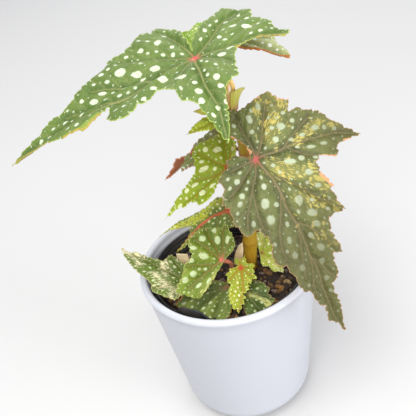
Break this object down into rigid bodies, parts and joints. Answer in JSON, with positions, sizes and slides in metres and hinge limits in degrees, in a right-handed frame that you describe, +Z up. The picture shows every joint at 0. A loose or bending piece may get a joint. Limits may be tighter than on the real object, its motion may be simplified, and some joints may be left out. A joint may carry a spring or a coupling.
{
  "type": "potted begonia",
  "caption": "Spotted angel-wing begonia on a short cane, in a black nursery pot of soil inside a smooth white round pot.",
  "frame": {"origin": "centre of the white pot's flat underside, on the surface that it stands on", "axes": "+Z up; -Y towards the viewer of the picture; +X to the viewer's right"},
  "size_m": [0.1567, 0.1167, 0.2095],
  "materials": {
    "pot_white": "smooth matt white with a rounded lip",
    "nursery_black": "thin black plastic with fine ribs",
    "soil": "damp loose potting mix with bark and mineral granules",
    "cane": "smooth olive-tan living stem, waxy",
    "leaf_green": "mid green living leaf with pale spots, waxy",
    "leaf_olive": "olive green living leaf with grey-green spots, waxy",
    "leaf_lime": "young yellow-green leaf with pale spots, waxy",
    "leaf_dark": "dark green living leaf, waxy",
    "stipule": "thin yellow-green sheath",
    "papery": "thin dry papery bract"
  },
  "bodies": {
    "root": {"outer_pot": "pot_white", "nursery_pot": "nursery_black", "soil": "soil", "cane": "cane", "leaf_top": "leaf_green", "leaf_right": "leaf_olive", "leaf_left": "leaf_lime", "leaf_low_left": "leaf_lime", "leaf_centre": "leaf_olive", "leaf_over_rim": "leaf_green", "leaf_young_front": "leaf_lime", "leaf_low_right": "leaf_dark", "leaf_low_left_front": "leaf_dark", "leaf_behind_cane": "leaf_lime", "leaf_back_left": "leaf_olive", "leaf_young_left": "leaf_lime", "leaf_top_right": "leaf_olive", "leaf_top_young": "leaf_lime", "bract_node": "stipule", "bract_cane": "papery", "bract_left": "papery", "stipule_node": "stipule"}
  },
  "joints": []
}
